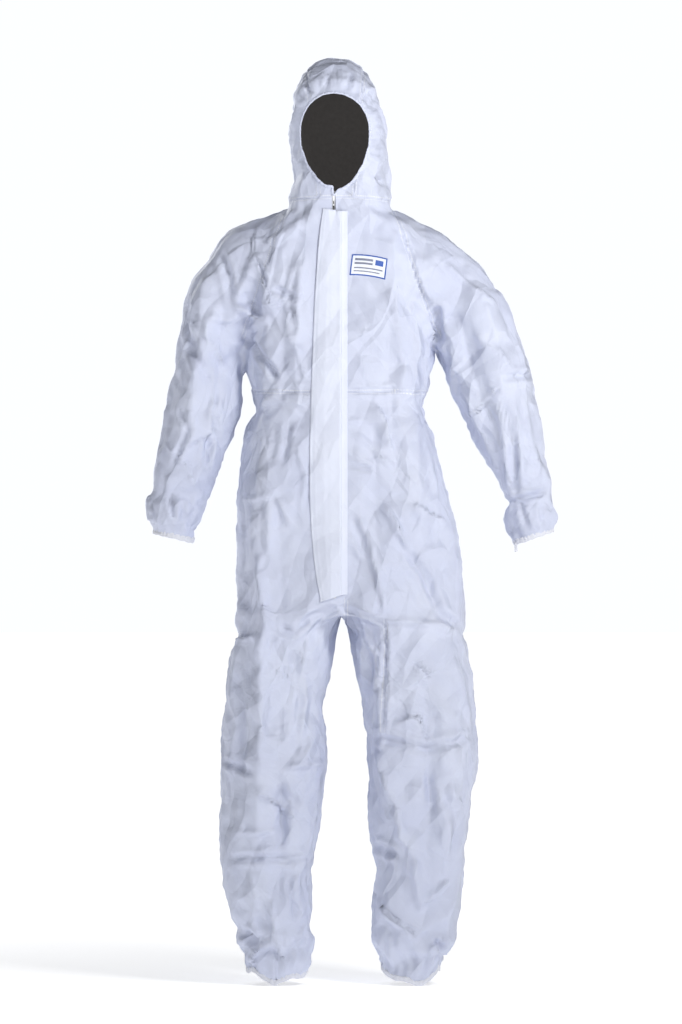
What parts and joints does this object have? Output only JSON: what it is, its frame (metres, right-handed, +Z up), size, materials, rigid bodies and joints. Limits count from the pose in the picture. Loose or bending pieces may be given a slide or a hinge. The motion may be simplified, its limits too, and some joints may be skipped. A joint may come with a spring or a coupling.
{
  "type": "chemical protective suit",
  "caption": "Hooded one-piece protective coverall with a front zip under a storm flap, elastic hood, waist, wrists and ankles, and finger loops.",
  "frame": {"origin": "centre of the neck base, between the wearer's shoulders, where the suit is carried", "axes": "+Z up along the body, front faces -Y, +X towards the wearer's left"},
  "size_m": [0.7881, 0.2989, 1.747],
  "materials": {
    "suit_fabric": "matte nonwoven laminate",
    "hood_fabric": "matte nonwoven laminate",
    "flap_fabric": "matte nonwoven laminate, double layer",
    "elastic": "narrow woven elastic",
    "zip_tape": "woven tape",
    "zip_teeth": "moulded nylon coil",
    "slider": "white enamel",
    "loop_tape": "narrow woven elastic",
    "adhesive_backing": "siliconised release paper",
    "label": "printed nonwoven"
  },
  "bodies": {
    "torso": {"front_panel_right": "suit_fabric", "front_panel_left": "suit_fabric", "back_panel": "suit_fabric", "seat_and_rise": "suit_fabric", "crotch_gusset": "suit_fabric", "right_leg_top": "suit_fabric", "left_leg_top": "suit_fabric", "right_sleeve_cap": "suit_fabric", "left_sleeve_cap": "suit_fabric", "right_shoulder_fold": "suit_fabric", "left_shoulder_fold": "suit_fabric", "hood_neck": "hood_fabric", "waist_elastic": "elastic", "zip_tape_right": "zip_tape", "zip_tape_left": "zip_tape", "zip_teeth_right": "zip_teeth", "zip_teeth_left": "zip_teeth", "zip_top_stops": "zip_teeth", "zip_bottom_stop": "zip_teeth", "flap_seam": "flap_fabric", "chest_label": "label", "size_label": "label"},
    "hood": {"hood_crown_panel": "hood_fabric", "hood_right_panel": "hood_fabric", "hood_left_panel": "hood_fabric", "face_elastic": "elastic"},
    "storm_flap": {"storm_flap": "flap_fabric", "flap_adhesive_strip": "adhesive_backing"},
    "zip_slider": {"zip_slider": "slider"},
    "pull_tab": {"zip_pull_tab": "slider"},
    "right_upper_arm": {"right_upper_sleeve": "suit_fabric", "right_elbow_fold": "suit_fabric"},
    "left_upper_arm": {"left_upper_sleeve": "suit_fabric", "left_elbow_fold": "suit_fabric"},
    "right_forearm": {"right_forearm": "suit_fabric", "right_wrist_elastic": "elastic", "right_finger_loop": "loop_tape"},
    "left_forearm": {"left_forearm": "suit_fabric", "left_wrist_elastic": "elastic", "left_finger_loop": "loop_tape"},
    "right_thigh": {"right_thigh": "suit_fabric", "right_knee_fold": "suit_fabric"},
    "left_thigh": {"left_thigh": "suit_fabric", "left_knee_fold": "suit_fabric"},
    "right_shin": {"right_lower_leg": "suit_fabric", "right_ankle_elastic": "elastic"},
    "left_shin": {"left_lower_leg": "suit_fabric", "left_ankle_elastic": "elastic"}
  },
  "joints": [
    {"name": "hood_nod", "type": "hinge", "parent": "torso", "child": "hood", "pos_m": [0, 0.01, 0.03], "axis": [1, 0, 0], "range_deg": [-12, 18], "deforming": ["hood_neck"]},
    {"name": "flap_open", "type": "hinge", "parent": "torso", "child": "storm_flap", "pos_m": [0.0027, -0.1178, 0.00022], "axis": [0, 0.0378, 0.9993], "range_deg": [0, 165]},
    {"name": "zip_slide", "type": "slide", "parent": "torso", "child": "zip_slider", "axis": [0, -0.0378, -0.9993], "range_m": [0, 0.7]},
    {"name": "pull_tab_swing", "type": "hinge", "parent": "zip_slider", "child": "pull_tab", "pos_m": [-0.012, -0.11415, 0.01319], "axis": [-1, 0, 0], "range_deg": [0, 180]},
    {"name": "right_shoulder_raise", "type": "hinge", "parent": "torso", "child": "right_upper_arm", "pos_m": [-0.237, 0, -0.2], "axis": [0, 1, 0], "range_deg": [0, 60], "deforming": ["right_shoulder_fold"]},
    {"name": "left_shoulder_raise", "type": "hinge", "parent": "torso", "child": "left_upper_arm", "pos_m": [0.24, 0, -0.2], "axis": [0, -1, 0], "range_deg": [0, 60], "deforming": ["left_shoulder_fold"]},
    {"name": "right_elbow_bend", "type": "hinge", "parent": "right_upper_arm", "child": "right_forearm", "pos_m": [-0.278, -0.001, -0.403], "axis": [-0.9733, 0, 0.2297], "range_deg": [0, 75], "deforming": ["right_elbow_fold"]},
    {"name": "left_elbow_bend", "type": "hinge", "parent": "left_upper_arm", "child": "left_forearm", "pos_m": [0.307, -0.001, -0.392], "axis": [-0.9456, 0, -0.3253], "range_deg": [0, 75], "deforming": ["left_elbow_fold"]},
    {"name": "right_hip_bend", "type": "hinge", "parent": "torso", "child": "right_thigh", "pos_m": [-0.11, 0, -0.79], "axis": [-1, 0, 0], "range_deg": [-12, 45], "deforming": ["right_leg_top"]},
    {"name": "left_hip_bend", "type": "hinge", "parent": "torso", "child": "left_thigh", "pos_m": [0.13, 0, -0.79], "axis": [-1, 0, 0], "range_deg": [-12, 45], "deforming": ["left_leg_top"]},
    {"name": "right_knee_bend", "type": "hinge", "parent": "right_thigh", "child": "right_shin", "pos_m": [-0.128, 0.02, -1.065], "axis": [1, 0, 0], "range_deg": [0, 60], "deforming": ["right_knee_fold"]},
    {"name": "left_knee_bend", "type": "hinge", "parent": "left_thigh", "child": "left_shin", "pos_m": [0.158, 0.02, -1.065], "axis": [1, 0, 0], "range_deg": [0, 60], "deforming": ["left_knee_fold"]}
  ]
}
